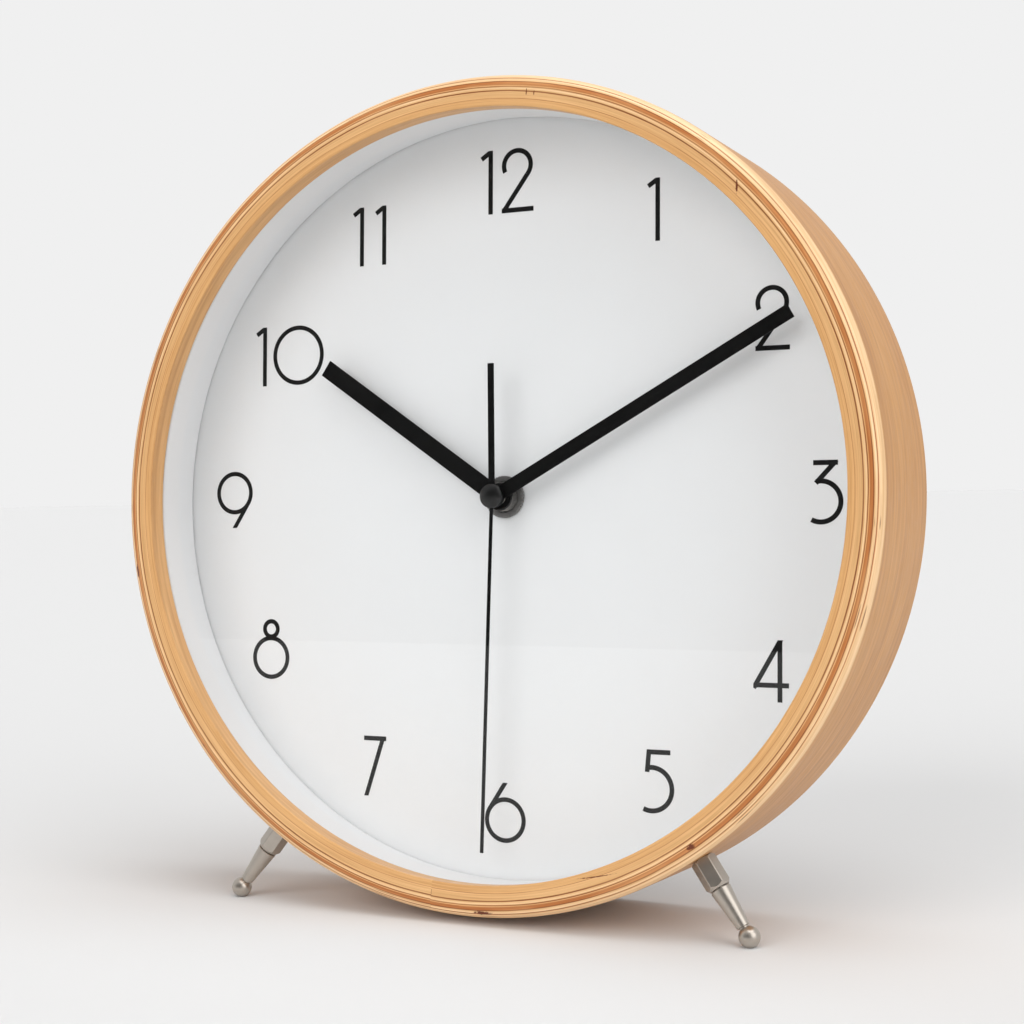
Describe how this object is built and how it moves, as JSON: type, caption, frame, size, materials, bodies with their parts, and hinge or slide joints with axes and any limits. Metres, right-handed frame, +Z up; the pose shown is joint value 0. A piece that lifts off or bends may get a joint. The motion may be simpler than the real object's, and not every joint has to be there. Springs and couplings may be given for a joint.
{
  "type": "mantel clock",
  "caption": "Round bent-plywood desk clock leaning back on small ball feet, with a glazed white dial, black hands and a battery-driven geared movement behind.",
  "frame": {"origin": "half way between the frontmost and rearmost points, on the plane it stands on, under the dial's centre", "axes": "+Z up, the dial faces -Y, +X to the right as seen from the front; the dial axis leans back 2.7 degrees about X"},
  "size_m": [0.224, 0.0554, 0.2257],
  "materials": {
    "plywood": "satin clear-coated birch plywood, plies showing on the front rim",
    "glass": "clear polished flat glass",
    "white_plastic": "satin white",
    "dial_white": "matt white printed dial",
    "fibreboard": "raw fibreboard",
    "pine": "raw sawn softwood",
    "nickel": "satin nickel plate",
    "steel": "zinc-plated steel",
    "brass": "turned brass",
    "black_paint": "semi-matt black lacquer",
    "black_plastic": "moulded black plastic, fine texture",
    "grey_metal": "turned and knurled, satin",
    "white_gear": "moulded natural acetal",
    "magnet": "sintered magnet",
    "copper": "enamelled copper winding",
    "board": "green circuit board",
    "rubber": "soft black rubber",
    "battery_wrap": "printed foil sleeve"
  },
  "bodies": {
    "case": {"case_ring": "plywood", "glass_lens": "glass", "liner_ring": "white_plastic", "dial_plate": "dial_white", "back_panel": "fibreboard", "back_panel_screw_1": "steel", "back_panel_screw_2": "steel", "back_panel_screw_3": "steel", "back_panel_screw_4": "steel", "back_block_1": "pine", "back_block_2": "pine", "back_block_3": "pine", "back_block_4": "pine", "leg_ferrule_left": "nickel", "leg_ferrule_right": "nickel", "foot_left": "nickel", "foot_right": "nickel", "leg_screw_left": "steel", "leg_screw_right": "steel", "movement_front_case": "black_plastic", "movement_back_case": "black_plastic", "middle_plate": "white_gear", "threaded_bush": "black_plastic", "rubber_washer": "rubber", "dial_nut": "grey_metal", "stator": "steel", "coil": "copper", "coil_core": "steel", "circuit_board": "board", "quartz_crystal": "nickel", "driver_chip": "black_plastic", "battery_contact_positive": "nickel", "battery_contact_negative": "nickel"},
    "minute": {"minute_arbor": "brass", "minute_hand": "black_paint"},
    "hour": {"hour_wheel": "white_gear", "hour_hand": "black_paint"},
    "minute_wheel_body": {"minute_wheel": "white_gear"},
    "setting": {"setting_knob": "black_plastic"},
    "seconds": {"seconds_wheel": "steel", "second_hand": "black_paint", "second_hand_cap": "black_paint"},
    "third": {"third_wheel": "white_gear"},
    "centre": {"centre_wheel": "brass"},
    "intermediate": {"intermediate_wheel": "white_gear"},
    "rotor_body": {"rotor": "magnet"},
    "battery_body": {"battery": "battery_wrap"}
  },
  "joints": [
    {"name": "minute_turn", "type": "hinge", "parent": "case", "child": "minute", "pos_m": [0, 0.01241, 0.11233], "axis": [0, 0.9989, -0.0471], "continuous": true},
    {"name": "hour_turn", "type": "hinge", "parent": "case", "child": "hour", "pos_m": [0, 0.01241, 0.11233], "axis": [0, 0.9989, -0.0471], "continuous": true},
    {"name": "minute_wheel_turn", "type": "hinge", "parent": "case", "child": "minute_wheel_body", "pos_m": [0.00902, 0.01256, 0.11561], "axis": [0, 0.9989, -0.0471], "continuous": true},
    {"name": "setting_turn", "type": "hinge", "parent": "case", "child": "setting", "pos_m": [0.01733, 0.01233, 0.11081], "axis": [0, 0.9989, -0.0471], "continuous": true},
    {"name": "seconds_turn", "type": "hinge", "parent": "case", "child": "seconds", "pos_m": [0, 0.01241, 0.11233], "axis": [0, 0.9989, -0.0471], "continuous": true},
    {"name": "third_turn", "type": "hinge", "parent": "case", "child": "third", "pos_m": [-0.00883, 0.01265, 0.11742], "axis": [0, 0.9989, -0.0471], "continuous": true},
    {"name": "centre_turn", "type": "hinge", "parent": "case", "child": "centre", "pos_m": [0, 0.01241, 0.11233], "axis": [0, 0.9989, -0.0471], "continuous": true},
    {"name": "intermediate_turn", "type": "hinge", "parent": "case", "child": "intermediate", "pos_m": [0.0042, 0.01275, 0.11959], "axis": [0, 0.9989, -0.0471], "continuous": true},
    {"name": "rotor_turn", "type": "hinge", "parent": "case", "child": "rotor_body", "pos_m": [0.01078, 0.01286, 0.12199], "axis": [0, 0.9989, -0.0471], "continuous": true},
    {"name": "battery_slide", "type": "slide", "parent": "case", "child": "battery_body", "axis": [0, 0.9989, -0.0471], "range_m": [0, 0.04]}
  ],
  "couplings": [
    {"joint": "hour_turn", "follows": "minute_turn", "ratio": 0.083333},
    {"joint": "minute_wheel_turn", "follows": "minute_turn", "ratio": -0.33333},
    {"joint": "setting_turn", "follows": "minute_turn", "ratio": 1},
    {"joint": "third_turn", "follows": "seconds_turn", "ratio": -0.13333},
    {"joint": "centre_turn", "follows": "seconds_turn", "ratio": 0.016667},
    {"joint": "intermediate_turn", "follows": "seconds_turn", "ratio": -5},
    {"joint": "rotor_turn", "follows": "seconds_turn", "ratio": 30}
  ]
}
